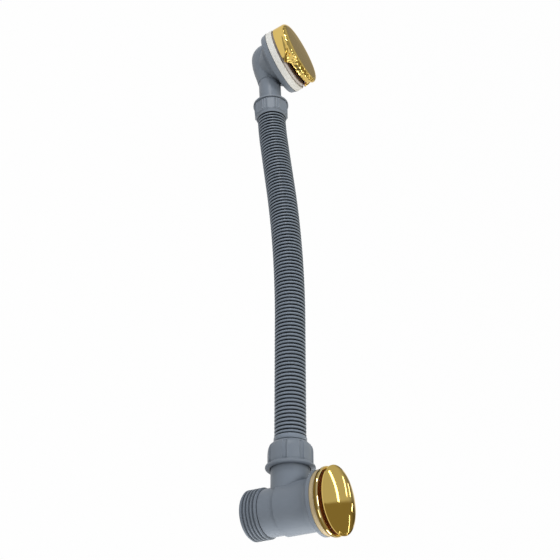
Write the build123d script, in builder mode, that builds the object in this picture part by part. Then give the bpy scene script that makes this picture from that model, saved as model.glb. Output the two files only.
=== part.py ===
"""Bath waste and overflow: a click plug waste with a tee, a corrugated hose and an overflow head.

Millimetres. +Z is the waste's own axis and points up into the bath. The origin is the centre of the
seat, where the gold flange meets the bath. The branch and the hose run towards -X.
"""
import os
from math import cos, radians, sin, sqrt

from build123d import *

os.makedirs("parts", exist_ok=True)

# Clearances
slip = 0.1
thread_gap = 0.2
running_gap = 0.3

# Tee: outlet pipe, chamber and rim
outlet_end_z = -81.8
pipe_r = 22.3
pipe_bore_r = 19.6
thread_r = 23.9
thread_pitch = 3.6
thread_turns = 5
thread_crest = 1.0
thread_root_gap = 0.9
relief_depth = 0.8
relief_width = 0.8
chamber_r = 24.2
chamber_step_z = -46.0
flare_z = -18.0
rim_r = 30.2
rim_thick = 4.3
gasket_thick = 5.2

# Tee: side branch
branch_z = -40.6
branch_r = 18.4
branch_end = 52.5
socket_floor = 38.0
socket_throat_r = 12.3
mouth_depth = 3.6
mouth_lip = 0.7

# Waste flange
flange_r = 32.0
flange_rim_h = 4.2
seat_outer_r = 27.0
seat_h = 1.6
tail_wall = 2.2
tail_length = 26.0
web_thick = 5.0
web_width = 4.0
web_top_z = -17.5
hub_r = 6.6

# Click cartridge
stud_r = 4.0
barrel_r = 7.0
barrel_bore_r = 5.7
barrel_top_z = 1.2
barrel_floor = 2.0
lid_thick = 2.4
plunger_r = 3.9
stem_r = 3.0
collar_thick = 1.8
ratchet_thick = 3.0
ratchet_teeth = 6
spring_wire_r = 0.45
spring_turns = 5
travel = 3.8

# Plug
cap_r = 31.8
cap_rim_z = flange_rim_h + travel + running_gap
cap_edge_h = 1.3
cap_bevel = 2.4
cap_crown_h = 6.6
cap_wall = 2.0
boss_r = 5.6
boss_drop = 4.0
spigot_r = 15.0
spigot_wall = 2.0
spigot_lip = 1.3
spigot_lip_thick = 0.8
plug_seal_r = 26.4
plug_seal_thick = 2.0

# Hose: route, corrugation and plain cuffs
hose_r = 15.1
hose_root_r = 13.1
rib_pitch = 3.8
cuff_r = 14.0
collar_r = 15.7
collar_length = 5.5
collar_ramp = 0.5
hose_bore_r = 12.3
first_bend_start = 190.0
first_bend_length = 160.0
first_bend_angle = 7.9
second_bend_length = 40.0
second_bend_angle = 4.75
spigot_tail = 16.0

# Lower nut
lower_nut_end = 63.0
lower_nut_start = 37.4
lower_nut_r = 20.9
lower_bead_r = 23.4
lower_bead_w = 5.4
lower_mouth_r = 16.2
lower_shoulder = 7.4
lower_thread_r = branch_r + thread_gap + 0.4
grip_count = 8
groove_width = 3.4
groove_depth = 0.9
groove_turn = 14.5
washer_thick = 1.4
seal_rim = 2.2

# Upper nut
upper_nut_start = 448.5
upper_nut_length = 15.4
upper_nut_foot = 5.2
upper_nut_foot_r = 15.9
upper_nut_small_r = 17.1
upper_nut_cone = 3.6
upper_nut_waist_r = 16.9
upper_nut_waist = 6.0
upper_nut_big_r = 18.9
upper_nut_rim = 1.2
upper_nut_lip = 3.0
upper_thread_r = 15.9
panel_width = 9.8
panel_height = 0.9
panel_turn = 29.4
upper_seal_length = 4.6
spigot_pipe_r = 12.0
spigot_bore_r = 9.6

# Overflow head
elbow_rise = 65.1
head_tilt = 14.7
head_turn = 2.8
elbow_body_r = 18.6
elbow_dome_rise = 13.0
elbow_waist = 11.0
elbow_throat = 9.0
elbow_crease = 0.8
elbow_wall = 2.8
horn_r = 23.5
head_rim_back = 10.1
head_rim_front = 16.6
head_rim_r = 34.6
head_rim_front_r = 36.0
head_gasket_thick = 7.3
head_gasket_r = 36.0
mouth_r = 21.8
ring_inset = 2.3
ring_thick = 3.0
ring_tail_length = 16.0
ring_tail_wall = 2.6
ring_hub_r = 5.5
ring_hub_length = 11.0
ring_web_w = 4.0
ring_web_thick = 4.0

# Overflow cover
cover_r = 35.7
cover_back = 26.4
cover_front = 41.3
cover_crown_h = 1.2
cover_edge_r = 2.2
cover_wall = 1.8
notch_width = 50.0
notch_depth = 7.2
notch_slope = 5.0
cover_boss_r = 5.0
cover_stud_r = 2.5

# Planes and axes: each section plane has the radius along x and the piece's own axis along y
waste_section = Plane.XZ
branch_origin = Vector(0, 0, branch_z)
branch_section = Plane(branch_origin, x_dir=(0, 0, 1), z_dir=(0, -1, 0))
branch_axis = Axis(branch_origin, (-1, 0, 0))

# Hose route from the socket floor to the spigot's collar
with BuildLine(Plane.XZ) as route:
    lead = Line((-socket_floor - slip, branch_z), (-first_bend_start, branch_z))
    first_bend_r = first_bend_length / radians(first_bend_angle)
    first = JernArc(lead @ 1, lead % 1, first_bend_r, first_bend_angle)
    straight = upper_nut_start - first_bend_start - first_bend_length - second_bend_length
    middle = PolarLine(first @ 1, straight, direction=first % 1)
    second_bend_r = second_bend_length / radians(second_bend_angle)
    second = JernArc(middle @ 1, middle % 1, second_bend_r, -second_bend_angle)
    hose_end_in_nut = upper_nut_lip + washer_thick + upper_seal_length + 3 * slip
    last = PolarLine(second @ 1, hose_end_in_nut, direction=second % 1)
hose_wire = route.wire()
hose_dir = last % 1
hose_top = last @ 1
nut_origin = hose_top - hose_dir * hose_end_in_nut
nut_section = Plane(nut_origin, x_dir=(hose_dir.Z, 0, -hose_dir.X), z_dir=(0, -1, 0))
nut_axis = Axis(nut_origin, hose_dir)

elbow_point = nut_origin + hose_dir * elbow_rise
turn_axis = Axis((0, 0, 0), hose_dir)
head_dir = Vector(-sin(radians(head_tilt)), 0, cos(radians(head_tilt))).rotate(turn_axis, head_turn)
head_down = Vector(cos(radians(head_tilt)), 0, sin(radians(head_tilt))).rotate(turn_axis, head_turn)
head_section = Plane(elbow_point, x_dir=head_down, z_dir=head_down.cross(head_dir))
head_axis = Axis(elbow_point, head_dir)


def head_plane(height):
    """Plane across the overflow axis at a height above the elbow's centre, x towards the hose side."""
    return Plane(elbow_point + head_dir * height, x_dir=head_down, z_dir=head_dir)


def branch_plane(distance):
    """Plane across the branch at a distance from the waste's axis, with z along the hose."""
    return Plane(branch_origin + Vector(-distance, 0, 0), x_dir=(0, 0, 1), z_dir=(-1, 0, 0))


def nut_plane(height):
    """Plane across the hose's upper end at a height above the upper nut's lower rim."""
    return Plane(nut_origin + hose_dir * height, x_dir=(hose_dir.Z, 0, -hose_dir.X), z_dir=hose_dir)


# Tee body: outlet with its thread ridges and relief, chamber, flared rim and side branch
gasket_back_z = -gasket_thick
rim_back_z = gasket_back_z - rim_thick
ridge = thread_pitch - thread_root_gap
thread_outline = []
for turn in range(thread_turns):
    foot = outlet_end_z + thread_root_gap + turn * thread_pitch
    thread_outline += [
        (pipe_r, foot),
        (thread_r, foot + (ridge - thread_crest) / 2),
        (thread_r, foot + (ridge + thread_crest) / 2),
        (pipe_r, foot + ridge),
    ]
socket_r = cuff_r + thread_gap
mouth_r_outer = branch_r - mouth_lip
with BuildPart() as waste_body:
    with BuildSketch(waste_section):
        with BuildLine():
            Polyline(
                (0, outlet_end_z),
                (pipe_r, outlet_end_z),
                *thread_outline,
                (pipe_r - relief_depth, thread_outline[-1][1]),
                (pipe_r - relief_depth, thread_outline[-1][1] + relief_width),
                (pipe_r, thread_outline[-1][1] + relief_width),
                (pipe_r, chamber_step_z - 1),
                (chamber_r, chamber_step_z),
                (chamber_r, flare_z),
            )
            flare = TangentArc((chamber_r, flare_z), (rim_r - 0.8, rim_back_z), tangent=(0, 1))
            Polyline(
                flare @ 1,
                (rim_r, rim_back_z + 0.8),
                (rim_r, gasket_back_z),
                (0, gasket_back_z),
                (0, outlet_end_z),
            )
        make_face()
    revolve(axis=Axis.Z)
    with BuildSketch(branch_plane(0)):
        Circle(branch_r)
    extrude(amount=branch_end)
    with BuildSketch(Plane.XY.offset(outlet_end_z)):
        Circle(pipe_bore_r)
    extrude(amount=gasket_back_z - outlet_end_z, mode=Mode.SUBTRACT)
    with BuildSketch(branch_section):
        with BuildLine():
            Polyline(
                (0, 0),
                (socket_throat_r, 0),
                (socket_throat_r, socket_floor),
                (socket_r, socket_floor),
                (socket_r, branch_end - mouth_depth),
                (mouth_r_outer, branch_end),
                (0, branch_end),
                close=True,
            )
        make_face()
    revolve(axis=branch_axis, mode=Mode.SUBTRACT)
waste_body.part.label = "waste_body"
export_step(waste_body.part, "parts/waste_body.step")

# Waste gasket: thick ring with a soft outer edge
tail_r = pipe_bore_r - thread_gap
gasket_r = rim_r + 0.3
with BuildPart() as waste_gasket:
    with BuildSketch(waste_section):
        with BuildLine():
            Polyline((gasket_r - 0.6, 0), (pipe_bore_r + thread_gap, 0),
                     (pipe_bore_r + thread_gap, gasket_back_z), (gasket_r - 0.6, gasket_back_z))
            ThreePointArc((gasket_r - 0.6, gasket_back_z), (gasket_r, gasket_back_z / 2), (gasket_r - 0.6, 0))
        make_face()
    revolve(axis=Axis.Z)
waste_gasket.part.label = "waste_gasket"
export_step(waste_gasket.part, "parts/waste_gasket.step")

# Waste flange: rounded rim, dished seat, hollow tail and a cross-web with a tapped hub
tail_bore_r = tail_r - tail_wall
web_back_z = web_top_z - web_thick
with BuildPart() as waste_flange:
    with BuildSketch(waste_section):
        with BuildLine():
            Polyline((tail_bore_r, -tail_length), (tail_r, -tail_length), (tail_r, 0), (flange_r - 0.9, 0))
            ThreePointArc((flange_r - 0.9, 0), (flange_r, flange_rim_h / 2), (flange_r - 1.0, flange_rim_h))
            Polyline(
                (flange_r - 1.0, flange_rim_h),
                (flange_r - 2.0, flange_rim_h),
                (seat_outer_r, seat_h),
                (tail_bore_r + 1.2, seat_h - 0.2),
                (tail_bore_r, seat_h - 1.4),
                (tail_bore_r, -tail_length),
            )
        make_face()
    revolve(axis=Axis.Z)
    with BuildSketch(Plane.XY.offset(web_back_z)):
        Rectangle(2 * tail_bore_r + tail_wall, web_width)
        Rectangle(web_width, 2 * tail_bore_r + tail_wall)
        Circle(hub_r)
        Circle(stud_r + slip, mode=Mode.SUBTRACT)
    extrude(amount=web_thick)
waste_flange.part.label = "waste_flange"
export_step(waste_flange.part, "parts/waste_flange.step")

# Click cartridge body: stud in the hub, hexagon for a spanner and a barrel
barrel_floor_z = web_top_z + barrel_floor
with BuildPart() as clicker_body:
    with BuildSketch(waste_section):
        with BuildLine():
            Polyline(
                (0, web_back_z),
                (stud_r, web_back_z),
                (stud_r, web_top_z),
                (barrel_r, web_top_z),
                (barrel_r, barrel_top_z),
                (barrel_bore_r, barrel_top_z),
                (barrel_bore_r, barrel_floor_z),
                (0, barrel_floor_z),
                close=True,
            )
        make_face()
    revolve(axis=Axis.Z)
    with BuildSketch(Plane.XY.offset(web_top_z)):
        RegularPolygon(barrel_r + 1.6, 6)
        Circle(barrel_bore_r, mode=Mode.SUBTRACT)
    extrude(amount=2 * barrel_floor)
waste_lid_z = barrel_top_z - 1.2
clicker_body.part.label = "clicker_body"
export_step(clicker_body.part, "parts/clicker_body.step")

# Click cartridge lid: pressed into the barrel, it guides the plunger
with BuildPart() as clicker_lid:
    with BuildSketch(waste_section):
        with BuildLine():
            Polyline(
                (plunger_r + running_gap, waste_lid_z),
                (barrel_bore_r - slip, waste_lid_z),
                (barrel_bore_r - slip, barrel_top_z),
                (barrel_r, barrel_top_z),
                (barrel_r, barrel_top_z + lid_thick - 0.6),
                (barrel_r - 0.6, barrel_top_z + lid_thick),
                (plunger_r + running_gap, barrel_top_z + lid_thick),
                close=True,
            )
        make_face()
    revolve(axis=Axis.Z)
clicker_lid.part.label = "clicker_lid"
export_step(clicker_lid.part, "parts/clicker_lid.step")

# Plunger: collar under the lid, guide stem below and a threaded end in the plug's boss
crown_z = cap_rim_z + cap_crown_h
boss_z = crown_z - cap_wall - boss_drop
boss_bore_z = crown_z - cap_wall - 0.4
collar_top_z = waste_lid_z - running_gap
collar_z = collar_top_z - collar_thick
guide_r = barrel_bore_r - running_gap
stem_z = collar_z - ratchet_thick - 3.0
with BuildPart() as clicker_plunger:
    with BuildSketch(waste_section):
        with BuildLine():
            Polyline(
                (0, stem_z),
                (stem_r, stem_z),
                (stem_r, collar_z),
                (guide_r, collar_z),
                (guide_r, collar_top_z),
                (plunger_r, collar_top_z),
                (plunger_r, boss_z - slip),
                (stem_r, boss_z - slip),
                (stem_r, boss_bore_z - slip),
                (0, boss_bore_z - slip),
                close=True,
            )
        make_face()
    revolve(axis=Axis.Z)
clicker_plunger.part.label = "clicker_plunger"
export_step(clicker_plunger.part, "parts/clicker_plunger.step")

# Ratchet ring: toothed cam that latches the plunger up or down
ratchet_top_z = collar_z - slip
with BuildPart() as clicker_ratchet:
    with BuildSketch(Plane.XY.offset(ratchet_top_z - ratchet_thick)):
        Circle(guide_r)
        Circle(stem_r + slip, mode=Mode.SUBTRACT)
        with PolarLocations(guide_r, ratchet_teeth):
            Rectangle(1.6, 1.5, mode=Mode.SUBTRACT)
    extrude(amount=ratchet_thick)
clicker_ratchet.part.label = "clicker_ratchet"
export_step(clicker_ratchet.part, "parts/clicker_ratchet.step")

# Cartridge spring: stands on the barrel's floor and lifts the ratchet
spring_low_z = barrel_floor_z + spring_wire_r + slip
spring_high_z = ratchet_top_z - ratchet_thick - spring_wire_r - slip
spring_height = spring_high_z - spring_low_z
spring_r = (stem_r + barrel_bore_r) / 2
with BuildPart() as clicker_spring:
    with BuildLine() as coil:
        Helix(spring_height / spring_turns, spring_height, spring_r, center=(0, 0, spring_low_z))
    with BuildSketch(Plane(coil.line @ 0, z_dir=coil.line % 0)):
        Circle(spring_wire_r)
    sweep(path=coil.line)
clicker_spring.part.label = "clicker_spring"
export_step(clicker_spring.part, "parts/clicker_spring.step")

# Plug cap: low dome with a bevelled edge, a tapped boss and a spigot that carries the seal
edge_z = cap_rim_z + cap_edge_h
seal_z = seat_h + travel + running_gap
seal_top_z = seal_z + plug_seal_thick
lip_top_z = seal_z - slip
dome_edge_r = cap_r - cap_bevel
dome_edge_z = edge_z + 1.0
dome_rise = crown_z - dome_edge_z
dome_r = (dome_edge_r**2 + dome_rise**2) / (2 * dome_rise)


def inside_dome(radius):
    """Height of the middle of the cap's wall at a radius, from the dome's circle."""
    return crown_z - dome_r + sqrt(dome_r**2 - radius**2) - cap_wall / 2


with BuildPart() as plug_cap:
    with BuildSketch(waste_section):
        with BuildLine():
            dome = TangentArc((0, crown_z), (dome_edge_r, dome_edge_z), tangent=(1, 0))
            Polyline(dome @ 1, (cap_r, edge_z), (cap_r, cap_rim_z + 0.5), (cap_r - 0.5, cap_rim_z),
                     (cap_r - cap_wall, cap_rim_z), (cap_r - cap_bevel - 0.6, cap_rim_z + 1.0))
            TangentArc((0, crown_z - cap_wall), (cap_r - cap_bevel - 0.6, cap_rim_z + 1.0), tangent=(1, 0))
            Line((0, crown_z - cap_wall), (0, crown_z))
        make_face()
    revolve(axis=Axis.Z)
    with BuildSketch(waste_section):
        with BuildLine():
            Polyline(
                (spigot_r - spigot_wall, lip_top_z - spigot_lip_thick),
                (spigot_r + spigot_lip, lip_top_z - spigot_lip_thick),
                (spigot_r + spigot_lip, lip_top_z),
                (spigot_r, lip_top_z),
                (spigot_r, seal_top_z + slip),
                (spigot_r + 3.0, seal_top_z + slip),
                (spigot_r + 3.0, inside_dome(spigot_r + 3.0)),
                (spigot_r - spigot_wall, inside_dome(spigot_r - spigot_wall)),
                close=True,
            )
        make_face()
    revolve(axis=Axis.Z)
    with BuildSketch(Plane.XY.offset(boss_z)):
        Circle(boss_r)
    extrude(amount=crown_z - cap_wall / 2 - boss_z)
    with BuildSketch(Plane.XY.offset(boss_z)):
        Circle(stem_r + slip)
    extrude(amount=boss_bore_z - boss_z, mode=Mode.SUBTRACT)
plug_cap.part.label = "plug_cap"
export_step(plug_cap.part, "parts/plug_cap.step")

# Plug seal: flat rubber washer on the spigot
with BuildPart() as plug_seal:
    with BuildSketch(Plane.XY.offset(seal_z)):
        Circle(plug_seal_r)
        Circle(spigot_r + slip, mode=Mode.SUBTRACT)
    extrude(amount=plug_seal_thick)
plug_seal.part.label = "plug_seal"
export_step(plug_seal.part, "parts/plug_seal.step")

# Lower cone seal: wedge ring pressed into the branch's mouth
mouth_slope = (mouth_r_outer - socket_r) / mouth_depth
seal_tip = branch_end - mouth_depth + 0.5
with BuildPart() as lower_cone_seal:
    with BuildSketch(branch_section):
        with BuildLine():
            Polyline(
                (cuff_r + slip, seal_tip),
                (socket_r + 0.5 * mouth_slope - slip, seal_tip),
                (mouth_r_outer - slip, branch_end),
                (mouth_r_outer - slip, branch_end + slip),
                (branch_r, branch_end + slip),
                (branch_r, branch_end + seal_rim),
                (cuff_r + slip, branch_end + seal_rim),
                close=True,
            )
        make_face()
    revolve(axis=branch_axis)
lower_cone_seal.part.label = "lower_cone_seal"
export_step(lower_cone_seal.part, "parts/lower_cone_seal.step")

# Lower slip washer: lets the nut turn without dragging the seal
lower_washer_start = branch_end + seal_rim + slip
with BuildPart() as lower_slip_washer:
    with BuildSketch(branch_plane(lower_washer_start)):
        Circle(branch_r + thread_gap)
        Circle(cuff_r + thread_gap, mode=Mode.SUBTRACT)
    extrude(amount=washer_thick)
lower_slip_washer.part.label = "lower_slip_washer"
export_step(lower_slip_washer.part, "parts/lower_slip_washer.step")

# Lower nut: bead rim, round body with grip grooves, and round shoulder
lower_floor = lower_washer_start + washer_thick + slip
neck_bore_r = hose_r + running_gap
shoulder_start = lower_nut_end - lower_shoulder
bead_end = lower_nut_start + lower_bead_w
bead_middle = lower_nut_start + lower_bead_w / 2
with BuildPart() as lower_nut:
    with BuildSketch(branch_section):
        with BuildLine():
            Polyline((lower_thread_r, lower_floor), (lower_thread_r, lower_nut_start),
                     (lower_bead_r - 1.4, lower_nut_start))
            ThreePointArc((lower_bead_r - 1.4, lower_nut_start), (lower_bead_r, bead_middle),
                          (lower_nut_r, bead_end))
            Line((lower_nut_r, bead_end), (lower_nut_r, shoulder_start))
            TangentArc((lower_nut_r, shoulder_start), (lower_mouth_r, lower_nut_end), tangent=(0, 1))
            Polyline((lower_mouth_r, lower_nut_end), (neck_bore_r, lower_nut_end),
                     (neck_bore_r, lower_floor), (lower_thread_r, lower_floor))
        make_face()
    revolve(axis=branch_axis)
    with BuildSketch(branch_plane(bead_end)):
        with PolarLocations(lower_nut_r, grip_count, start_angle=groove_turn):
            Rectangle(2 * groove_depth, groove_width)
    extrude(amount=shoulder_start - bead_end, mode=Mode.SUBTRACT)
lower_nut.part.label = "lower_nut"
export_step(lower_nut.part, "parts/lower_nut.step")

# Hose: a collar and ribs as rings along the bent route, a plain cuff at each end and a smooth bore
route_start = socket_floor + slip
hose_length = hose_wire.length
collar_start = lower_nut_end + collar_ramp - route_start
rib_start = collar_start + collar_length
rib_end = upper_nut_start - upper_nut_foot + upper_nut_cone - route_start
rib_count = round((rib_end - rib_start) / rib_pitch)
rib_step = (rib_end - rib_start) / rib_count
rings = [
    (0, cuff_r),
    (collar_start, cuff_r),
    (collar_start + collar_ramp, collar_r),
    (rib_start - collar_ramp, collar_r),
    (rib_start, hose_root_r),
]
for rib in range(rib_count):
    rings.append((rib_start + (rib + 0.5) * rib_step, hose_r))
    rings.append((rib_start + (rib + 1) * rib_step, hose_root_r if rib < rib_count - 1 else cuff_r))
rings.append((hose_length, cuff_r))
with BuildPart() as overflow_hose:
    for distance, radius in rings:
        place = distance / hose_length
        with BuildSketch(Plane(hose_wire @ place, x_dir=(0, 1, 0), z_dir=hose_wire % place)):
            Circle(radius)
    loft(ruled=True)
    with BuildSketch(Plane(hose_wire @ 0, x_dir=(0, 1, 0), z_dir=hose_wire % 0)):
        Circle(hose_bore_r)
    sweep(path=hose_wire, mode=Mode.SUBTRACT)
overflow_hose.part.label = "overflow_hose"
export_step(overflow_hose.part, "parts/overflow_hose.step")

# Upper slip washer
upper_ring_r = upper_thread_r - thread_gap
upper_washer_start = upper_nut_lip + slip
with BuildPart() as upper_slip_washer:
    with BuildSketch(nut_plane(upper_washer_start)):
        Circle(upper_ring_r)
        Circle(cuff_r + thread_gap, mode=Mode.SUBTRACT)
    extrude(amount=washer_thick)
upper_slip_washer.part.label = "upper_slip_washer"
export_step(upper_slip_washer.part, "parts/upper_slip_washer.step")

# Upper seal: rubber sleeve around the hose's cuff
upper_seal_start = upper_washer_start + washer_thick + slip
with BuildPart() as upper_seal:
    with BuildSketch(nut_plane(upper_seal_start)):
        Circle(upper_ring_r)
        Circle(cuff_r + slip, mode=Mode.SUBTRACT)
    extrude(amount=upper_seal_length)
upper_seal.part.label = "upper_seal"
export_step(upper_seal.part, "parts/upper_seal.step")

# Upper nut: coned foot, waist and a wide rim above its flat grip panels
grip_start = upper_nut_cone - upper_nut_foot
grip_end = upper_nut_length - upper_nut_rim
with BuildPart() as upper_nut:
    with BuildSketch(nut_section):
        with BuildLine():
            Polyline(
                (neck_bore_r, -upper_nut_foot),
                (upper_nut_foot_r, -upper_nut_foot),
                (upper_nut_small_r, grip_start),
                (upper_nut_waist_r, upper_nut_waist),
                (upper_nut_big_r, grip_end),
                (upper_nut_big_r, upper_nut_length),
                (upper_thread_r, upper_nut_length),
                (upper_thread_r, upper_nut_lip),
                (neck_bore_r, upper_nut_lip),
                close=True,
            )
        make_face()
    revolve(axis=nut_axis)
    with BuildSketch(nut_plane(grip_start)):
        with PolarLocations(upper_nut_waist_r, grip_count, start_angle=panel_turn):
            Rectangle(2 * panel_height, panel_width)
    extrude(amount=grip_end - grip_start)
upper_nut.part.label = "upper_nut"
export_step(upper_nut.part, "parts/upper_nut.step")

# Overflow elbow: spigot with a threaded collar, domed body, horn and flange
spigot_collar_start = upper_seal_start + upper_seal_length + slip
dome_start = elbow_rise + elbow_dome_rise
waist = elbow_rise - elbow_waist
body_inner_r = elbow_body_r - elbow_wall
crease = (spigot_pipe_r + elbow_crease, waist - elbow_throat + elbow_crease / 2)
with BuildPart() as overflow_elbow:
    with BuildSketch(nut_section):
        with BuildLine():
            Polyline(
                (0, spigot_collar_start - spigot_tail),
                (spigot_pipe_r, spigot_collar_start - spigot_tail),
                (spigot_pipe_r, spigot_collar_start),
                (upper_ring_r, spigot_collar_start),
                (upper_ring_r, upper_nut_length - 0.8),
                (spigot_pipe_r, upper_nut_length - 0.8),
                (spigot_pipe_r, waist - elbow_throat),
                crease,
            )
            Spline(crease, (elbow_body_r, dome_start), tangents=((0.2, 1), (0, 1)))
            TangentArc((elbow_body_r, dome_start), (0, dome_start + elbow_body_r), tangent=(0, 1))
            Line((0, dome_start + elbow_body_r), (0, spigot_collar_start - spigot_tail))
        make_face()
    revolve(axis=nut_axis)
    with BuildSketch(head_section):
        with BuildLine():
            Polyline((0, -4.0), (elbow_body_r - 2.0, -4.0), (horn_r, 5.0))
            TangentArc((horn_r, 5.0), (head_rim_r - 1.0, head_rim_back), tangent=(0.25, 1))
            Polyline((head_rim_r - 1.0, head_rim_back), (head_rim_r, head_rim_back + 1.0),
                     (head_rim_front_r, head_rim_front), (0, head_rim_front), (0, -4.0))
        make_face()
    revolve(axis=head_axis)
    with BuildSketch(nut_section):
        with BuildLine():
            Polyline(
                (0, spigot_collar_start - spigot_tail),
                (spigot_bore_r, spigot_collar_start - spigot_tail),
                (spigot_bore_r, waist),
                (body_inner_r, dome_start),
            )
            TangentArc((body_inner_r, dome_start), (0, dome_start + body_inner_r), tangent=(0, 1))
            Line((0, dome_start + body_inner_r), (0, spigot_collar_start - spigot_tail))
        make_face()
    revolve(axis=nut_axis, mode=Mode.SUBTRACT)
    with BuildSketch(head_section):
        with BuildLine():
            mouth_end = head_rim_front + elbow_body_r
            Polyline((0, 0), (body_inner_r, 0), (mouth_r, 8.0), (mouth_r, head_rim_front),
                     (2 * mouth_r, head_rim_front), (2 * mouth_r, mouth_end), (0, mouth_end), close=True)
        make_face()
    revolve(axis=head_axis, mode=Mode.SUBTRACT)
overflow_elbow.part.label = "overflow_elbow"
export_step(overflow_elbow.part, "parts/overflow_elbow.step")

# Overflow gasket: thick ring with soft edges
gasket_front = head_rim_front + head_gasket_thick
with BuildPart() as overflow_gasket:
    with BuildSketch(head_section):
        with BuildLine():
            Polyline(
                (mouth_r + thread_gap, head_rim_front),
                (head_gasket_r - 0.6, head_rim_front),
                (head_gasket_r, head_rim_front + 0.6),
                (head_gasket_r, gasket_front - 0.6),
                (head_gasket_r - 0.6, gasket_front),
                (mouth_r + thread_gap, gasket_front),
                close=True,
            )
        make_face()
    revolve(axis=head_axis)
overflow_gasket.part.label = "overflow_gasket"
export_step(overflow_gasket.part, "parts/overflow_gasket.step")

# Overflow front ring: flange on the bath's inner face, hollow tail, cross-web and hub
ring_front = gasket_front + ring_thick
ring_tail_r = mouth_r - thread_gap
ring_bore_r = ring_tail_r - ring_tail_wall
ring_r = cover_r - ring_inset
ring_tail_start = gasket_front - ring_tail_length
hub_start = ring_front + 2.0 - ring_hub_length
with BuildPart() as overflow_front_ring:
    with BuildSketch(head_section):
        with BuildLine():
            Polyline(
                (ring_bore_r, ring_tail_start),
                (ring_tail_r, ring_tail_start),
                (ring_tail_r, gasket_front),
                (ring_r, gasket_front),
                (ring_r, ring_front - 0.6),
                (ring_r - 0.6, ring_front),
                (ring_bore_r, ring_front),
                close=True,
            )
        make_face()
    revolve(axis=head_axis)
    with BuildSketch(head_plane(hub_start)):
        Rectangle(2 * ring_bore_r + ring_tail_wall, ring_web_w)
        Rectangle(ring_web_w, 2 * ring_bore_r + ring_tail_wall)
    extrude(amount=ring_web_thick)
    with BuildSketch(head_plane(hub_start)):
        Circle(ring_hub_r)
    extrude(amount=ring_hub_length)
    with BuildSketch(head_plane(hub_start)):
        Circle(cover_stud_r + slip)
    extrude(amount=ring_hub_length, mode=Mode.SUBTRACT)
overflow_front_ring.part.label = "overflow_front_ring"
export_step(overflow_front_ring.part, "parts/overflow_front_ring.step")

# Overflow cover: skirted disc with a rounded edge, an inlet notch and a tapped boss
cover_crown = cover_front + cover_crown_h
skirt_end = cover_front - cover_edge_r
cover_inner_r = cover_r - cover_wall
boss_start = cover_back + notch_depth + 1.0
boss_bore_end = cover_crown - cover_wall - 0.6
notch_origin = elbow_point + head_dir * cover_back + head_down * 2 * cover_boss_r
notch_plane = Plane(notch_origin, x_dir=head_dir, z_dir=head_down)
notch_foot = notch_width / 2 + notch_slope
notch_top = notch_width / 2 - notch_slope
with BuildPart() as overflow_cover:
    with BuildSketch(head_section):
        with BuildLine():
            Line((cover_r, cover_back), (cover_r, skirt_end))
            RadiusArc((cover_r, skirt_end), (cover_r - cover_edge_r, cover_front), -cover_edge_r)
            TangentArc((0, cover_crown), (cover_r - cover_edge_r, cover_front), tangent=(1, 0))
            Line((0, cover_crown), (0, cover_crown - cover_wall))
            inner_edge = (cover_inner_r - cover_edge_r, cover_front - cover_wall)
            TangentArc((0, cover_crown - cover_wall), inner_edge, tangent=(1, 0))
            Polyline(inner_edge, (cover_inner_r, skirt_end - cover_wall),
                     (cover_inner_r, cover_back), (cover_r, cover_back))
        make_face()
    revolve(axis=head_axis)
    with BuildSketch(head_plane(boss_start)):
        Circle(cover_boss_r)
    extrude(amount=cover_crown - cover_wall / 2 - boss_start)
    with BuildSketch(head_plane(boss_start)):
        Circle(cover_stud_r + slip)
    extrude(amount=boss_bore_end - boss_start, mode=Mode.SUBTRACT)
    with BuildSketch(notch_plane):
        with BuildLine():
            Polyline(
                (-notch_depth, -notch_foot),
                (-notch_depth, notch_foot),
                (notch_depth, notch_top),
                (notch_depth, -notch_top),
                close=True,
            )
        make_face()
    extrude(amount=cover_r, mode=Mode.SUBTRACT)
overflow_cover.part.label = "overflow_cover"
export_step(overflow_cover.part, "parts/overflow_cover.step")

# Cover stud: brass screw between the front ring's hub and the cover's boss
with BuildPart() as cover_stud:
    with BuildSketch(head_plane(hub_start + 1.0)):
        Circle(cover_stud_r)
    extrude(amount=boss_bore_end - slip - hub_start - 1.0)
cover_stud.part.label = "cover_stud"
export_step(cover_stud.part, "parts/cover_stud.step")
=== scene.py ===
"""Looks of a bath waste and overflow, in metres and in the part's own frame.

The waste's axis is +Z, the origin is the centre of its seat, and the hose runs towards -X.
"""

import bmesh
import bpy
import numpy as np
from mathutils import Matrix


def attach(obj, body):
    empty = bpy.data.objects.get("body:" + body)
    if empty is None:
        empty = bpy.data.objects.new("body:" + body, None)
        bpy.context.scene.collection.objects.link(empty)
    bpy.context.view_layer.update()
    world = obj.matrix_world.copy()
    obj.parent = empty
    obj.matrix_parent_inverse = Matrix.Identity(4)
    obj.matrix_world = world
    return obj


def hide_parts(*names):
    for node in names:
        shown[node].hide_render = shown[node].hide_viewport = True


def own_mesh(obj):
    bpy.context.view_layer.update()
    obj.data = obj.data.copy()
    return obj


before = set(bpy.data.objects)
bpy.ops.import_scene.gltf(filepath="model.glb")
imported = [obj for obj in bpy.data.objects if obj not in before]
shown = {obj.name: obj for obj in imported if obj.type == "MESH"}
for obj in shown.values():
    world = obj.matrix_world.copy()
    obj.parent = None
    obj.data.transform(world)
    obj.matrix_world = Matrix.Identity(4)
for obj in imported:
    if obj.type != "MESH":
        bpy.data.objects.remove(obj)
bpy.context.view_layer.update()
bpy.context.scene.view_settings.view_transform = "Standard"

# Tee: the waste's body, injection moulded in blue-grey polypropylene. It hangs under the bath, clamped
# by the gold flange; its threaded foot takes the trap's nut, and its side branch takes the hose.
MM = 0.001


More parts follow.
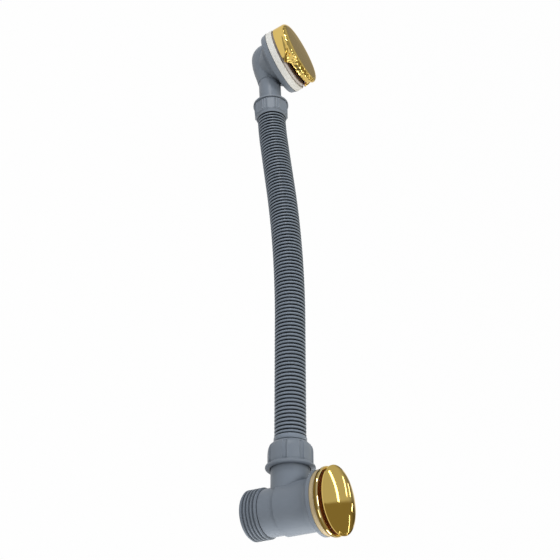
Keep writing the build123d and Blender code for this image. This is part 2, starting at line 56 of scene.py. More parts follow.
def linear(colour):
    """sRGB hex to linear RGBA: c / 12.92 for the darkest channels, else ((c + 0.055) / 1.055) ** 2.4."""
    channel = np.array([int(colour[i:i + 2], 16) for i in (1, 3, 5)]) / 255
    bright = ((channel + 0.055) / 1.055) ** 2.4
    return (*np.where(channel <= 0.04045, channel / 12.92, bright), 1.0)


def add(tree, kind, sockets=None, **settings):
    """Adds one node: settings go to its properties, and sockets to its inputs, as values or as links."""
    made = tree.nodes.new(kind)
    for name, value in settings.items():
        setattr(made, name, value)
    for name, value in (sockets or {}).items():
        if isinstance(value, bpy.types.NodeSocket):
            tree.links.new(value, made.inputs[name])
        else:
            made.inputs[name].default_value = value
    return made


def finish_named(name):
    """An empty material, its node tree, and the Object coordinates that all its patterns read."""
    material = bpy.data.materials.new(name)
    material.use_nodes = True
    tree = material.node_tree
    tree.nodes.clear()
    place = add(tree, "ShaderNodeTexCoord").outputs["Object"]
    return material, tree, place


def moulded(name, pale, deep, roughness, cloud_mm, grain_mm, groove=None):
    """Moulded plastic: two close shades drift in soft clouds, as the melt flowed, and the skin of the
    mould leaves a fine grain in the gloss and the bump. Painted shade darkens corners and grooves, where
    ambient occlusion finds little open sky, and a painted groove shade takes over where the mesh's own
    depth attribute nears 1."""
    material, tree, place = finish_named(name)
    cloud = add(tree, "ShaderNodeTexNoise", {"Vector": place, "Scale": 1 / (cloud_mm * MM), "Detail": 3})
    grain = add(tree, "ShaderNodeTexNoise", {"Vector": place, "Scale": 1 / (grain_mm * MM), "Detail": 2})
    shade = add(tree, "ShaderNodeMix", {"Factor": cloud.outputs["Fac"], "A": linear(deep), "B": linear(pale)},
                data_type="RGBA")
    # Painted shade: the groove colour takes over where the depth attribute nears 1.
    if groove:
        depth = add(tree, "ShaderNodeAttribute", attribute_name="depth")
        shade = add(tree, "ShaderNodeMix", {"Factor": depth.outputs["Fac"], "A": shade.outputs["Result"],
                                            "B": linear(groove)}, data_type="RGBA")
    # Painted shade: ambient occlusion darkens the colour toward near-black in corners and grooves.
    open_sky = add(tree, "ShaderNodeAmbientOcclusion", {"Distance": 5 * MM}, samples=8)
    painted_shade = add(tree, "ShaderNodeMapRange", {"Value": open_sky.outputs["AO"], "From Min": 0.2, "From Max": 0.9,
                                            "To Min": 0.8, "To Max": 0.0})
    shade = add(tree, "ShaderNodeMix", {"Factor": painted_shade.outputs["Result"], "A": shade.outputs["Result"],
                                        "B": linear("#1A1C1E")}, data_type="RGBA")
    gloss = add(tree, "ShaderNodeMapRange", {"Value": grain.outputs["Fac"], "To Min": roughness - 0.07,
                                             "To Max": roughness + 0.07})
    skin = add(tree, "ShaderNodeBump", {"Height": grain.outputs["Fac"], "Strength": 0.12,
                                        "Distance": 0.1 * MM})
    surface = add(tree, "ShaderNodeBsdfPrincipled", {"Base Color": shade.outputs["Result"],
                                                     "Specular IOR Level": 0.3,
                                                     "Roughness": gloss.outputs["Result"],
                                                     "Normal": skin.outputs["Normal"]})
    add(tree, "ShaderNodeOutputMaterial", {"Surface": surface.outputs["BSDF"]})
    return material


def dress(name, material):
    """Gives a piece of the model its finish in place of the plain one."""
    shown[name].data.materials.clear()
    shown[name].data.materials.append(material)


polypropylene = moulded("grey_polypropylene", "#858E9A", "#7B8490", 0.42, 22, 0.6)
dress("waste_body", polypropylene)

# Waste gasket: a thick ring of cream rubber, moulded in one piece. The flange's thread squeezes it between
# the tee's rim and the underside of the bath.
cream_rubber = moulded("cream_rubber", "#D3C099", "#C4AF85", 0.5, 9, 0.5)
dress("waste_gasket", cream_rubber)

# Waste flange: turned brass with a polished gold plate. It sits in the bath's hole and its tail screws
# into the tee, so only its rim and the dished seat under the plug are seen. The rim's dull olive foot is
# painted shade, its pale lip is a painted highlight, and the brown coat on the seat is a painted
# reflection of the light caught between the gold plug and seat.
# The flange's olive foot is painted shade, its pale lip a painted highlight, and its brown seat coat a
# painted reflection.
GOLD, GOLD_EDGE, LIP_PAINTED_HIGHLIGHT, FOOT_PAINTED_SHADE, BROWN_COAT = "#D8BA6A", "#F2E8D0", "#F4DB9A", "#6E5722", "#D07A34"
POLISH = 0.05
SEAT_R, LIP_LOW, LIP_HIGH = 29.5 * MM, 2.5 * MM, 3.3 * MM


def plated(name, colour, edge, roughness, seat_r=0.0, lined=False):
    """Polished plate: a mirror of one colour, and of another at a glancing angle, with a slow swell of the
    hand polish and the finest haze. Around a seat, a dull olive painted shade runs evenly into the colour
    between the lip's two heights, and a brown coat of painted reflection covers all that lies within the
    seat's radius of the Z axis. On a lined sheet the brown coat is a lacquer and lies where the mesh's own
    depth attribute is 1."""
    material, tree, place = finish_named(name)
    swell = add(tree, "ShaderNodeTexNoise", {"Vector": place, "Scale": 1 / (14 * MM), "Detail": 1})
    haze = add(tree, "ShaderNodeTexNoise", {"Vector": place, "Scale": 1 / (2.5 * MM), "Detail": 3})
    gloss = add(tree, "ShaderNodeMapRange", {"Value": haze.outputs["Fac"], "To Min": roughness * 0.6,
                                             "To Max": roughness * 1.4})
    wave = add(tree, "ShaderNodeBump", {"Height": swell.outputs["Fac"], "Strength": 0.1,
                                        "Distance": 0.3 * MM})
    shade = linear(colour)
    # Painted shade and highlight: below the lip the colour turns to a dull olive.
    if seat_r:
        height = add(tree, "ShaderNodeSeparateXYZ", {0: place}).outputs["Z"]
        lip = add(tree, "ShaderNodeMapRange", {"Value": height, "From Min": LIP_LOW, "From Max": LIP_HIGH})
        shade = add(tree, "ShaderNodeMix", {"Factor": lip.outputs["Result"], "A": linear(FOOT_PAINTED_SHADE),
                                            "B": shade}, data_type="RGBA").outputs["Result"]
    surface = add(tree, "ShaderNodeBsdfPrincipled", {"Base Color": shade, "Metallic": 1.0,
                                                     "Specular Tint": linear(edge),
                                                     "Roughness": gloss.outputs["Result"],
                                                     "Normal": wave.outputs["Normal"]})
    # Painted reflection: within the seat a brown coat stands in for the light caught between the gold plug
    # and seat; on a lined sheet the same brown coat is lacquer.
    if seat_r:
        flat = add(tree, "ShaderNodeVectorMath", {0: place, 1: (1, 1, 0)}, operation="MULTIPLY")
        away = add(tree, "ShaderNodeVectorMath", {0: flat.outputs["Vector"]}, operation="LENGTH")
        within = add(tree, "ShaderNodeMath", {0: away.outputs["Value"], 1: seat_r}, operation="LESS_THAN")
        where = within.outputs["Value"]
    if lined:
        where = add(tree, "ShaderNodeAttribute", attribute_name="depth").outputs["Fac"]
    if seat_r or lined:
        coat = add(tree, "ShaderNodeBsdfPrincipled", {"Base Color": linear(BROWN_COAT), "Roughness": 0.45})
        surface = add(tree, "ShaderNodeMixShader", {0: where, 1: surface.outputs["BSDF"],
                                                    2: coat.outputs["BSDF"]})
    add(tree, "ShaderNodeOutputMaterial", {"Surface": surface.outputs[0]})
    return material


gold_plate = plated("gold_plate", GOLD, GOLD_EDGE, POLISH)
dress("waste_flange", plated("gold_flange", LIP_PAINTED_HIGHLIGHT, GOLD_EDGE, POLISH, SEAT_R))

# Click cartridge: turned brass barrel, lid and plunger with a nylon ratchet and a steel spring, screwed
# into the flange's hub. A push latches the plug down, and the next push lets the spring lift it.
turned_brass = plated("turned_brass", "#C9A45C", "#E0C48A", 0.22)
spring_steel = plated("spring_steel", "#B4B6B8", "#F0F0F0", 0.18)
nylon = moulded("white_nylon", "#E9E8E2", "#DEDDD5", 0.4, 12, 0.5)
for name in ("clicker_body", "clicker_lid", "clicker_plunger"):
    dress(name, turned_brass)
dress("clicker_ratchet", nylon)

# Spring: five turns of steel wire, wound cold, that stand between the barrel's floor and the ratchet. It
# shortens with each push and lifts the plug when the ratchet lets go.
SPRING_R, WIRE_R, SPRING_TURNS = 4.35 * MM, 0.45 * MM, 5
SPRING_LOW, SPRING_HIGH = -14.95 * MM, -5.75 * MM
SPRING_RINGS, WIRE_SIDES = 241, 14


def closed_surface(name, points, material, depth=None):
    """Mesh of a grid of points whose rows and columns both close on themselves; doubles are merged. Depth is
    kept as an attribute of the points."""
    corner = np.arange(points[..., 0].size).reshape(points.shape[:2])
    right, below = np.roll(corner, -1, 1), np.roll(corner, -1, 0)
    faces = np.stack([corner, right, np.roll(right, -1, 0), below], -1).reshape(-1, 4)
    mesh = bpy.data.meshes.new(name)
    mesh.from_pydata(points.reshape(-1, 3), [], faces)
    if depth is not None:
        values = np.broadcast_to(depth, points.shape[:2]).ravel()
        mesh.attributes.new("depth", "FLOAT", "POINT").data.foreach_set("value", values)
    work = bmesh.new()
    work.from_mesh(mesh)
    bmesh.ops.remove_doubles(work, verts=work.verts, dist=2e-6)
    bare = [edge for edge in work.edges if not edge.link_faces]
    bmesh.ops.delete(work, geom=bare, context="EDGES")
    bmesh.ops.recalc_face_normals(work, faces=work.faces)
    work.to_mesh(mesh)
    work.free()
    mesh.shade_smooth()
    mesh.set_sharp_from_angle(angle=np.radians(38))
    mesh.materials.append(material)
    made = bpy.data.objects.new(name, mesh)
    bpy.context.scene.collection.objects.link(made)
    return made


def coil_wire():
    """Rings of wire along a helix. Each stands on the helix's radius and on the cross product of its slope
    with that radius, and both ends close on their middles."""
    turn = np.linspace(0, 2 * np.pi * SPRING_TURNS, SPRING_RINGS)
    rise = SPRING_LOW + (SPRING_HIGH - SPRING_LOW) * turn / turn[-1]
    core = np.stack([SPRING_R * np.cos(turn), SPRING_R * np.sin(turn), rise], -1)
    slope = np.gradient(core, axis=0)
    slope /= np.linalg.norm(slope, axis=1)[:, None]
    out = np.stack([np.cos(turn), np.sin(turn), 0 * turn], -1)
    round_wire = np.linspace(0, 2 * np.pi, WIRE_SIDES, endpoint=False)[:, None]
    rings = core[:, None] + WIRE_R * (np.cos(round_wire) * out[:, None]
                                      + np.sin(round_wire) * np.cross(slope, out)[:, None])
    ends = np.broadcast_to(core[[0, -1]][:, None], (2, WIRE_SIDES, 3))
    return np.concatenate([ends[:1], rings, ends[1:]])


spring = closed_surface("coil_spring", coil_wire(), spring_steel)
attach(spring, "fixture")
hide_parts("clicker_spring")
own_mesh(spring)

# Plug: a low dome of polished, gold plated brass, screwed on the plunger. The rubber washer under it
# seals against the flange's seat when the plug is down. Its brown colour is a painted reflection of the
# light caught between the gold plug and seat.
black_rubber = moulded("black_rubber", "#232425", "#1A1B1C", 0.6, 8, 0.5)
# Painted reflection: the washer's brown stands in for the light caught between the gold plug and seat.
painted_brown_rubber = moulded("painted_brown_rubber", "#A5592A", "#934E24", 0.5, 8, 0.5)
dress("plug_cap", gold_plate)
dress("plug_seal", painted_brown_rubber)

# Hose: corrugated polypropylene, blown into a ribbed mould, so that it bends without kinking. A plain
# collar stands above the lower nut, and a smooth cuff at each end is held inside a nut.
LEAD, FIRST_BEND, FIRST_ANGLE = 190 * MM, 160 * MM, np.radians(7.9)
MIDDLE_END, SECOND_BEND, SECOND_ANGLE = 408.5 * MM, 40 * MM, np.radians(4.75)
BRANCH_Z, ROUTE_END = -40.6 * MM, 480 * MM
HOSE_START, HOSE_END = 38.1 * MM, 457.8 * MM
COLLAR_START, RIBS_START, RIBS_END = 63.5 * MM, 69.0 * MM, 446.9 * MM
RIB_PITCH, CREST_R, ROOT_R, RIB_SHARE = 3.8 * MM, 15.15 * MM, 12.3 * MM, (0.68, 0.52)
CUFF_R, COLLAR_R, BORE_R = 14.0 * MM, 15.7 * MM, 11.6 * MM
# Painted shade in the grooves: where it starts below the crest, the depth over which it grows, and its
# strength at each end.
SHADE_START, SHADE_DEPTH, SHADE_SHARE = 0.5 * MM, 0.8 * MM, (0.5, 1)
HOSE_COLUMNS, BORE_ROWS = 72, 60


def around_route(distance, radius, columns):
    """Rings around the hose's centre line. Its slope grows evenly over the first bend and falls back over
    the second, and each place on it is the sum of the small steps along that slope."""
    fine = np.linspace(0, ROUTE_END, 9601)
    slope = (FIRST_ANGLE * np.clip((fine - LEAD) / FIRST_BEND, 0, 1)
             - SECOND_ANGLE * np.clip((fine - MIDDLE_END) / SECOND_BEND, 0, 1))
    step = np.diff(fine, prepend=0)
    x, z = np.cumsum(-np.cos(slope) * step), BRANCH_Z + np.cumsum(-np.sin(slope) * step)
    lean = np.interp(distance, fine, slope)
    centre = np.stack([np.interp(distance, fine, x), 0 * distance, np.interp(distance, fine, z)], -1)
    across = np.stack([-np.sin(lean), 0 * lean, np.cos(lean)], -1)
    turn = np.linspace(0, 2 * np.pi, columns, endpoint=False)
    ring = np.cos(turn)[:, None] * across[:, None] + np.sin(turn)[:, None] * np.array([0, 1, 0])
    return centre[:, None] + np.broadcast_to(radius, (distance.size, columns))[..., None] * ring


def ribbed_wall():
    """Distance and radius down the outside and back up the bore. Each rib is half a squarish oval, (1 - u^4)
    to the power of a quarter, over its share of the pitch, and a deep groove takes the rest. The share
    falls evenly towards the upper end, where the hose is pulled longer."""
    count = round((RIBS_END - RIBS_START) / RIB_PITCH)
    across = np.array([-1, -0.97, -0.85, -0.5, 0, 0.5, 0.85, 0.97, 1])
    share = np.linspace(RIB_SHARE[0], RIB_SHARE[1], count)[:, None]
    spot = np.hstack([0 * share, 0.5 + 0.5 * share * across])
    rise = np.concatenate([[0], (1 - across ** 4) ** 0.25])
    distance = RIBS_START + (RIBS_END - RIBS_START) * (np.arange(count)[:, None] + spot).ravel() / count
    radius = ROOT_R + (CREST_R - ROOT_R) * np.tile(rise, count)
    bevel = np.array([0, 0.15, 0.45, 0.8]) * MM
    lip = COLLAR_R - np.array([0.8, 0.35, 0.1, 0]) * MM
    collar_end = RIBS_START - 0.4 * MM
    distance = np.concatenate([
        [HOSE_START, COLLAR_START], COLLAR_START + bevel, collar_end - bevel[::-1], distance,
        [RIBS_END, RIBS_END, HOSE_END], np.linspace(HOSE_END, HOSE_START, BORE_ROWS)])
    radius = np.concatenate([
        [CUFF_R, CUFF_R], lip, lip[::-1], radius, [ROOT_R, CUFF_R, CUFF_R], np.full(BORE_ROWS, BORE_R)])
    return distance, radius


# Painted shade: the grooves take a near-black colour by their depth, at half strength by the lower nut and
# full strength by the upper.
hose_plastic = moulded("hose_polypropylene", "#8C97A5", "#828D9B", 0.4, 22, 0.6, "#0B1019")
reach, radius = ribbed_wall()
sunk = np.clip((CREST_R - SHADE_START - radius) / SHADE_DEPTH, 0, 1)
sunk = (sunk * np.interp(reach, [RIBS_START, RIBS_END], SHADE_SHARE))[:, None]
hose = closed_surface("ribbed_hose", around_route(reach, radius[:, None], HOSE_COLUMNS), hose_plastic, sunk)
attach(hose, "fixture")
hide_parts("overflow_hose")

# Lower joint: a round nut, moulded in the tee's plastic, draws a rubber wedge and a nylon washer onto the
# hose's cuff. Eight grooves run down its wall for the fingers, and a bead stiffens its open end.
GRIPS, GROOVE_W, GROOVE_DEPTH, GROOVE_LIP = 8, 3.8 * MM, 0.8 * MM, 0.45 * MM
GRIP_EASE, NUT_STEP, NUT_COLUMNS = 0.8 * MM, 0.6 * MM, 480


def smooth_step(share):
    """0 below 0, 1 above 1, and 3 s^2 - 2 s^3 between."""
    share = np.clip(share, 0, 1)
    return share * share * (3 - 2 * share)


def gripped(outline, bore, start, end, side_r, flatness, turned):
    """Radius of a turned wall with grip panels between two distances, but plain inside the bore. A panel's
    radius is its middle radius over the cosine of the angle from that middle, by the flatness; a groove
    sinks between two panels as a steep bell, and a low lip stands along both sides of it."""
    distance, radius = outline.T
    turn = np.linspace(0, 2 * np.pi, NUT_COLUMNS, endpoint=False)
    side = 2 * np.pi / GRIPS
    from_groove = np.abs((turn - turned + side / 2) % side - side / 2)
    way = from_groove * side_r[:, None] / (GROOVE_W / 2)
    panel = side_r[:, None] * (1 + flatness * (1 / np.cos(side / 2 - from_groove) - 1))
    panel = panel - GROOVE_DEPTH * np.exp(-way ** 6) + GROOVE_LIP * np.exp(-((way - 1.3) / 0.3) ** 2)
    share = np.clip((distance - start) / GRIP_EASE, 0, 1) * np.clip((end - distance) / GRIP_EASE, 0, 1)
    share = smooth_step(share)[:, None]
    wall = radius[:, None] * (1 - share) + panel * share
    return np.where(radius[:, None] < bore, radius[:, None], wall)


def smooth_line(corners, cut, steps=7):
    """Rounds the corners of a closed outline: near each one runs the parabola between two points at the
    cut's length from it, and cuts never pass half of a side."""
    corners = np.asarray(corners, float)
    before, after = np.roll(corners, 1, 0) - corners, np.roll(corners, -1, 0) - corners
    size_before, size_after = np.linalg.norm(before, axis=1), np.linalg.norm(after, axis=1)
    cut = np.broadcast_to(cut, size_before.shape)
    first = corners + before * (np.minimum(cut / size_before, 0.49))[:, None]
    last = corners + after * (np.minimum(cut / size_after, 0.49))[:, None]
    t = np.linspace(0, 1, steps)[None, :, None]
    curve = (1 - t) ** 2 * first[:, None] + 2 * t * (1 - t) * corners[:, None] + t ** 2 * last[:, None]
    return curve.reshape(-1, 2)


def filled(outline, gap):
    """Adds points along a closed outline so that no step is longer than the gap."""
    step = np.roll(outline, -1, 0) - outline
    pieces = np.maximum(np.ceil(np.linalg.norm(step, axis=1) / gap), 1).astype(int)
    start = np.repeat(np.arange(pieces.size), pieces)
    share = (np.arange(pieces.sum()) - np.repeat(np.cumsum(pieces) - pieces, pieces)) / pieces[start]
    return outline[start] + share[:, None] * step[start]


lower_outline = smooth_line(
    np.array([(37.6, 19.0), (37.6, 22.6), (38.6, 23.6), (40.2, 23.5), (41.6, 21.3), (55.6, 21.2),
              (60.4, 19.7), (63.0, 16.4), (63.0, 15.4), (56.3, 15.4), (56.3, 19.0)]) * MM,
    np.array([0.3, 0.6, 0.6, 0.8, 0.8, 2.5, 2.5, 0.5, 0.2, 0.2, 0.2]) * MM)
lower_outline = filled(lower_outline, NUT_STEP)
outside = np.minimum(lower_outline[:, 1], 21.2 * MM)
nut_wall = gripped(lower_outline, 19.2 * MM, 41.4 * MM, 60.4 * MM, outside, 0, np.radians(14.5))
lower_nut = closed_surface("lower_nut_gripped",
                           around_route(lower_outline[:, 0], nut_wall, NUT_COLUMNS), polypropylene)
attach(lower_nut, "fixture")
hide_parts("lower_nut")
dress("lower_cone_seal", black_rubber)
dress("lower_slip_washer", nylon)

# Upper joint: a smaller nut of the same plastic, with eight flat grip panels and a wide rim. It clamps the
# hose on the elbow's spigot with a rubber seal and a nylon washer.
NUT_START = 448.5 * MM
upper_outline = smooth_line(
    np.array([(-5.2, 15.4), (-5.2, 15.9), (-2.2, 16.5), (-1.6, 17.3), (6.0, 17.1), (12.9, 17.6), (13.1, 19.2),
              (15.4, 19.0), (15.4, 15.9), (3.0, 15.9), (3.0, 15.4)]) * MM,
    np.array([0.2, 0.4, 0.3, 0.4, 3.0, 0.3, 0.5, 0.6, 0.4, 0.2, 0.2]) * MM)
upper_outline = filled(upper_outline, NUT_STEP)
flat_r = np.interp(upper_outline[:, 0], [-1.6 * MM, 13 * MM], [17.2 * MM, 17.8 * MM])
nut_wall = gripped(upper_outline, 16.0 * MM, -1.4 * MM, 12.7 * MM, flat_r, 1, np.radians(6.9))
route_place = NUT_START + upper_outline[:, 0]
upper_nut = closed_surface("upper_nut_gripped",
                           around_route(route_place, nut_wall, NUT_COLUMNS), polypropylene)
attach(upper_nut, "fixture")
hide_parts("upper_nut")
dress("upper_seal", black_rubber)
dress("upper_slip_washer", nylon)

# Overflow elbow: the head behind the bath's end wall, moulded in the tee's plastic. Its spigot takes the
# upper nut, and its round flange carries the gasket.
dress("overflow_elbow", polypropylene)

# Overflow gasket and front ring: white rubber behind the bath's wall, and a moulded off-white ring on the
# wall's inner face, whose screwed tail draws the gasket tight.
white_rubber = moulded("white_rubber", "#F6F5F1", "#ECEBE6", 0.6, 6, 0.5)
ring_plastic = moulded("ring_plastic", "#D9D2CE", "#CFC8C4", 0.45, 12, 0.5)
dress("overflow_gasket", white_rubber)
dress("overflow_front_ring", ring_plastic)

# Overflow cover: gold plated cap, pressed from brass sheet, lacquered brown inside and held on a brass stud.
# Towards the hose its skirt is cut back, which leaves the inlet for the water, and the pressing leaves
# it dented and wavy there.
HEAD = np.array([-512.23, 0, -67.08]) * MM
HEAD_OUT = np.array([-0.2537, 0.0479, 0.9661])
HEAD_DOWN = np.array([0.9673, 0.0098, 0.2535])
COVER_R, COVER_BACK, COVER_FRONT, CROWN = 35.7 * MM, 26.4 * MM, 41.6 * MM, 0.05 * MM
EDGE_R, SHEET = 4.4 * MM, 1.6 * MM
NOTCH_TOP, NOTCH_HALF, NOTCH_RAMP = 32.0 * MM, np.radians(39), np.radians(11)
DENT, DENT_EDGE, DENT_FADE, WAVE = 2.2 * MM, 2.5 * MM, 5 * MM, 0.08 * MM
DENT_TURN, DENT_SHARE = np.radians([43, 57, 80, 112, 126]), (0, 0.52, 0.74, 0.97, 1.2)
COVER_COLUMNS, SKIRT_ROWS, RIM_ROWS, FACE_ROWS, INSIDE_STEP = 540, 44, 12, 24, 4


def cover_shell():
    """Rows run from the skirt's free edge over the rounded rim to the middle of the face, then back along
    the inside. The free edge climbs as a smooth step into the notch. The skirt is pressed in beyond a
    slanted line that falls from the rim to the notch's corner, and small waves run from that dent over
    the rim and die out at the face."""
    turn = np.linspace(-np.pi, np.pi, COVER_COLUMNS, endpoint=False)
    off = np.abs(turn)
    climb = smooth_step((NOTCH_HALF + NOTCH_RAMP / 2 - off) / NOTCH_RAMP)
    free_edge = COVER_BACK + (NOTCH_TOP - COVER_BACK) * climb
    rim_foot = COVER_FRONT - EDGE_R
    skirt_h = free_edge + (rim_foot - free_edge) * np.linspace(0, 1, SKIRT_ROWS)[:, None]
    arc = np.linspace(0, np.pi / 2, RIM_ROWS)[1:, None]
    out = np.linspace(1, 0, FACE_ROWS)[1:, None]
    line = COVER_BACK + (rim_foot - COVER_BACK) * np.interp(off, DENT_TURN, DENT_SHARE)
    beyond = smooth_step((skirt_h - line) / DENT_EDGE)
    dent = beyond * smooth_step((rim_foot + 0.5 * MM - skirt_h) / DENT_FADE)
    rough_rim = smooth_step((DENT_TURN[-1] - off) / np.radians(20)) * smooth_step((1.5 - arc) / 0.5)
    along = turn * COVER_R
    down = np.concatenate([skirt_h, rim_foot + EDGE_R * arc + 0 * turn])
    waves = WAVE * (np.sin(along / (0.9 * MM) + down / (0.7 * MM))
                    + np.sin(along / (1.3 * MM) - down / (1.1 * MM))
                    + np.sin(along / (0.6 * MM) - down / (2.3 * MM)))
    on_skirt, on_rim = np.split(waves, [SKIRT_ROWS])
    skirt_r = COVER_R - dent * DENT - beyond * on_skirt
    curl = EDGE_R - rough_rim * on_rim
    rim_r, rim_h = COVER_R - EDGE_R + curl * np.cos(arc), rim_foot + curl * np.sin(arc)
    face_r = (COVER_R - EDGE_R) * out + 0 * turn
    face_h = COVER_FRONT + CROWN * (1 - out ** 2) + 0 * turn
    radius, height = np.concatenate([skirt_r, rim_r, face_r]), np.concatenate([skirt_h, rim_h, face_h])
    inside_r = np.concatenate([skirt_r - SHEET, rim_r - SHEET * np.cos(arc), face_r])
    inside_h = np.concatenate([skirt_h, rim_h - SHEET * np.sin(arc), face_h - SHEET])
    back_way = np.append(np.arange(0, len(inside_r) - 1, INSIDE_STEP), len(inside_r) - 1)[::-1]
    radius = np.concatenate([radius, inside_r[back_way]])
    height = np.concatenate([height, inside_h[back_way]])
    spoke = np.cos(turn)[:, None] * HEAD_DOWN + np.sin(turn)[:, None] * np.cross(HEAD_OUT, HEAD_DOWN)
    inside = np.arange(len(radius))[:, None] >= len(inside_r)
    return HEAD + height[..., None] * HEAD_OUT + radius[..., None] * spoke, inside


shell, inside = cover_shell()
gold_cover = plated("gold_cover", GOLD, GOLD_EDGE, POLISH, lined=True)
cover = closed_surface("overflow_cover_plated", shell, gold_cover, inside.astype(float))
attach(cover, "fixture")
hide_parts("overflow_cover")
dress("cover_stud", turned_brass)

# Floor: a plain white sweep well below the object. Camera, mirror and glass rays see it nearly white, but
# grey at its far end beyond the overflow, and it keeps the object's soft shadow.
FLOOR_Z, FLOOR_HALF, SEEN_WHITE = -0.33, 40, 0.985
FAR_WAY, FAR_START, FAR_END, FAR_GREY = (-0.72, 0.69, 0), 4.0, 6.2, 0.33
floor_mesh = bpy.data.meshes.new("floor")
floor_mesh.from_pydata([(x * FLOOR_HALF, y * FLOOR_HALF, FLOOR_Z)
                        for x, y in ((-1, -1), (1, -1), (1, 1), (-1, 1))], [], [(0, 1, 2, 3)])
floor = bpy.data.objects.new("floor", floor_mesh)
bpy.context.scene.collection.objects.link(floor)
floor_paint, tree, place = finish_named("white_floor")
rays = add(tree, "ShaderNodeLightPath").outputs
seen = add(tree, "ShaderNodeMath", {0: rays["Is Camera Ray"], 1: rays["Is Glossy Ray"]}, operation="MAXIMUM")
seen = add(tree, "ShaderNodeMath", {0: seen.outputs[0], 1: rays["Is Transmission Ray"]}, operation="MAXIMUM")
share = add(tree, "ShaderNodeMath", {0: seen.outputs[0], 1: SEEN_WHITE}, operation="MULTIPLY")
far = add(tree, "ShaderNodeVectorMath", {0: place, 1: FAR_WAY}, operation="DOT_PRODUCT")
fade = add(tree, "ShaderNodeMapRange", {"Value": far.outputs["Value"], "From Min": FAR_START,
                                        "From Max": FAR_END, "To Min": 1.0, "To Max": FAR_GREY},
           interpolation_type="SMOOTHSTEP")
matt = add(tree, "ShaderNodeBsdfDiffuse", {"Color": linear("#B4B4B4")})
white = add(tree, "ShaderNodeEmission", {"Color": (1, 1, 1, 1), "Strength": fade.outputs["Result"]})
both = add(tree, "ShaderNodeMixShader", {0: share.outputs[0], 1: matt.outputs[0], 2: white.outputs[0]})
add(tree, "ShaderNodeOutputMaterial", {"Surface": both.outputs[0]})
floor_mesh.materials.append(floor_paint)

# Studio: a soft room, brighter beyond the overflow end and behind the camera and dimmer along the horizon.
# Four broad lamps stand over the plug, beside its foot, towards the overflow's head and at the camera's
# right hand, and six narrow strips behind the plug draw the streaks in its polish.
DIM_SIDE, BRIGHT_SIDE, FRONT = (0.30, 0.26, 0.15, 1), (0.66, 0.67, 0.64, 1), (0.44, 0.45, 0.46, 1)
END_WAY, HORIZON, STRIP_AWAY = (-1.0, -0.364, 0.0), 0.42, 1.5
room = bpy.data.worlds.new("studio")
room.use_nodes = True
tree = room.node_tree
tree.nodes.clear()
look = add(tree, "ShaderNodeTexCoord").outputs["Generated"]
part = add(tree, "ShaderNodeSeparateXYZ", {0: look}).outputs
end_way = add(tree, "ShaderNodeVectorMath", {0: look, 1: END_WAY}, operation="DOT_PRODUCT")
far_end = add(tree, "ShaderNodeMapRange", {"Value": end_way.outputs["Value"], "From Min": -0.02,
                                           "From Max": 0.02}, interpolation_type="SMOOTHSTEP")
sides = add(tree, "ShaderNodeMix", {"Factor": far_end.outputs["Result"], "A": DIM_SIDE,
                                    "B": BRIGHT_SIDE}, data_type="RGBA")
front = add(tree, "ShaderNodeMapRange", {"Value": part["Y"], "From Min": 0.1, "From Max": -0.5,
                                         "To Min": 0.0, "To Max": 1.0}, interpolation_type="SMOOTHSTEP")
sides = add(tree, "ShaderNodeMix", {"Factor": front.outputs["Result"], "A": sides.outputs["Result"],
                                    "B": FRONT}, data_type="RGBA")
low = add(tree, "ShaderNodeMapRange", {"Value": part["Z"], "From Min": 0.02, "From Max": 0.3,
                                       "To Min": HORIZON, "To Max": 1.0}, interpolation_type="SMOOTHSTEP")
air = add(tree, "ShaderNodeBackground", {"Color": sides.outputs["Result"], "Strength": low.outputs["Result"]})
add(tree, "ShaderNodeOutputWorld", {"Surface": air.outputs[0]})
bpy.context.scene.world = room


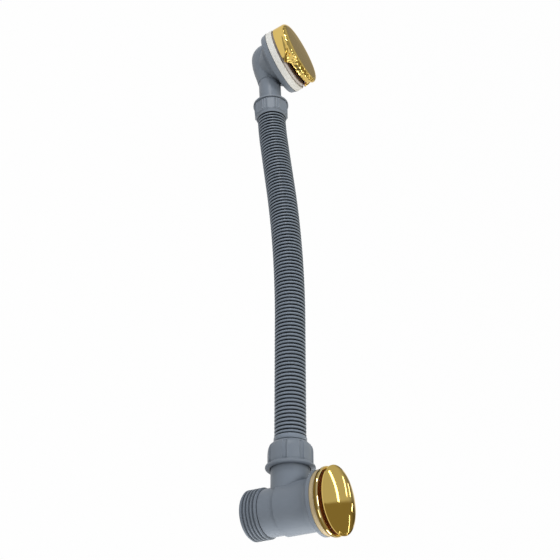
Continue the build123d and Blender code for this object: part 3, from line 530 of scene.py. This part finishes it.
def lamp(name, spot, aim, size, watts, along=(0, 0, 1)):
    """Area lamp at a spot, turned towards its aim: its -Z axis is the line between the two, and its length
    lies across that line, as near to the given way as it can."""
    light = bpy.data.lights.new(name, "AREA")
    light.shape, light.size, light.size_y, light.energy = "RECTANGLE", size[0], size[1], watts
    holder = bpy.data.objects.new(name, light)
    bpy.context.scene.collection.objects.link(holder)
    back = np.subtract(spot, aim) / np.linalg.norm(np.subtract(spot, aim))
    side = np.cross(along, back)
    side /= np.linalg.norm(side)
    turn = np.eye(4)
    turn[:3, :3] = np.stack([side, np.cross(back, side), back], 1)
    turn[:3, 3] = spot
    holder.matrix_world = Matrix(turn)


middle = (-0.26, 0, -0.04)
lamp("over", (0.06, -0.72, 1.32), middle, (0.6, 0.6), 6)
lamp("foot", (0.62, 0.36, -0.08), (0, 0, -0.06), (0.3, 0.3), 4.6)
lamp("head", (-1.15, -0.755, 0.30), (-0.455, 0, -0.085), (0.22, 0.22), 4.4)
lamp("hand", (1.02, -0.88, 0.20), middle, (0.6, 0.6), 3.4)
plug_top = np.array([0, 0, 0.014])
streaks = (((-0.573, 0.609, 0.548), (-0.266, 0.727, 0.633), 0.09, 0.90),
           ((-0.494, 0.843, 0.214), (-0.360, 0.873, 0.328), 0.05, 0.24),
           ((-0.437, 0.895, 0.090), (-0.363, 0.919, 0.154), 0.03, 0.10),
           ((-0.321, 0.941, 0.108), (-0.272, 0.946, 0.175), 0.03, 0.10),
           ((-0.220, 0.929, 0.299), (-0.090, 0.953, 0.289), 0.03, 0.12),
           ((0.127, 0.800, 0.584), (-0.043, 0.968, 0.243), 0.06, 0.50))
for number, (start, end, width, watts) in enumerate(streaks):
    first, last = plug_top + STRIP_AWAY * np.array(start), plug_top + STRIP_AWAY * np.array(end)
    size = (width, np.linalg.norm(last - first))
    lamp("strip_%d" % number, (first + last) / 2, plug_top, size, watts, last - first)

# Camera: the photograph's own view, with the hose upright in a square picture.
camera = bpy.data.cameras.new("camera")
camera.sensor_width = 36
camera.lens = 80.357
camera.clip_start, camera.clip_end = 0.01, 100
eye = bpy.data.objects.new("camera", camera)
bpy.context.scene.collection.objects.link(eye)
eye.matrix_world = Matrix((
    (-0.0020469, -0.8756110, 0.4830126, 0.36549),
    (0.5046858, -0.4178914, -0.7554198, -0.94795),
    (0.8633007, 0.2422233, 0.4427638, 0.50343),
    (0, 0, 0, 1),
))
bpy.context.scene.camera = eye
